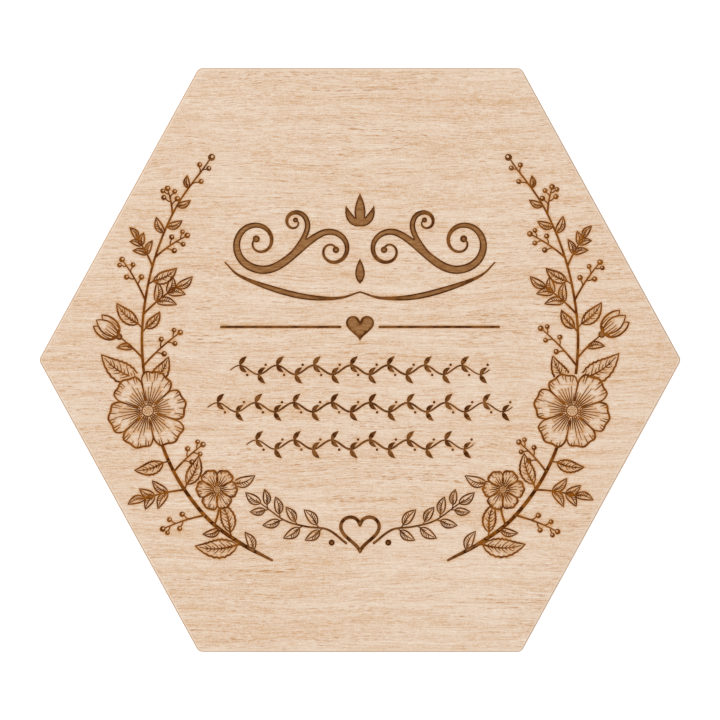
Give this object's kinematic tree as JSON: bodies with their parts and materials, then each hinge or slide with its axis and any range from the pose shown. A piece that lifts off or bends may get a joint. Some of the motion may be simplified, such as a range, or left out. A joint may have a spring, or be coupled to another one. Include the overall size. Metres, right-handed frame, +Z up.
{
  "type": "keepsake box",
  "caption": "Hexagonal oak keepsake box with mitred walls, a hinged flat lid, inset butt hinges and a magnet catch.",
  "frame": {"origin": "on the table under the middle of the box, at the lowest face of the felt feet", "axes": "+X to the right along the front side, +Y towards the hinges, +Z up"},
  "size_m": [0.2402, 0.219, 0.0883],
  "materials": {
    "lid_oak": "pale oak, matt lacquer, grain along the box's width",
    "rail_oak": "pale oak, matt lacquer, grain along each rail",
    "wall_oak": "pale oak, matt lacquer, grain along each wall",
    "base_oak": "oak-faced board, unpolished",
    "tongue_beech": "beech, raw",
    "lining_felt": "oatmeal wool felt",
    "foot_felt": "pressed wool felt",
    "hinge_brass": "satin brass",
    "screw_brass": "polished brass",
    "magnet_nickel": "nickel plating"
  },
  "bodies": {
    "box": {"wall_front": "wall_oak", "wall_front_right": "wall_oak", "wall_rear_right": "wall_oak", "wall_rear": "wall_oak", "wall_rear_left": "wall_oak", "wall_front_left": "wall_oak", "base_panel": "base_oak", "base_lining": "lining_felt", "felt_feet": "foot_felt", "corner_tongues_box": "tongue_beech", "hinge_left_box_leaf": "hinge_brass", "hinge_left_pin": "hinge_brass", "hinge_right_box_leaf": "hinge_brass", "hinge_right_pin": "hinge_brass", "hinge_screws_box": "screw_brass", "catch_magnets_box": "magnet_nickel"},
    "lid": {"lid_panel": "lid_oak", "lid_rail_front": "rail_oak", "lid_rail_front_right": "rail_oak", "lid_rail_rear_right": "rail_oak", "lid_rail_rear": "rail_oak", "lid_rail_rear_left": "rail_oak", "lid_rail_front_left": "rail_oak", "corner_tongues_lid": "tongue_beech", "hinge_left_lid_leaf": "hinge_brass", "hinge_right_lid_leaf": "hinge_brass", "hinge_screws_lid": "screw_brass", "catch_magnets_lid": "magnet_nickel"}
  },
  "joints": [
    {"name": "lid_hinge", "type": "hinge", "parent": "box", "child": "lid", "pos_m": [0, 0.1047, 0.06415], "axis": [-1, 0, 0], "range_deg": [0, 98]}
  ]
}
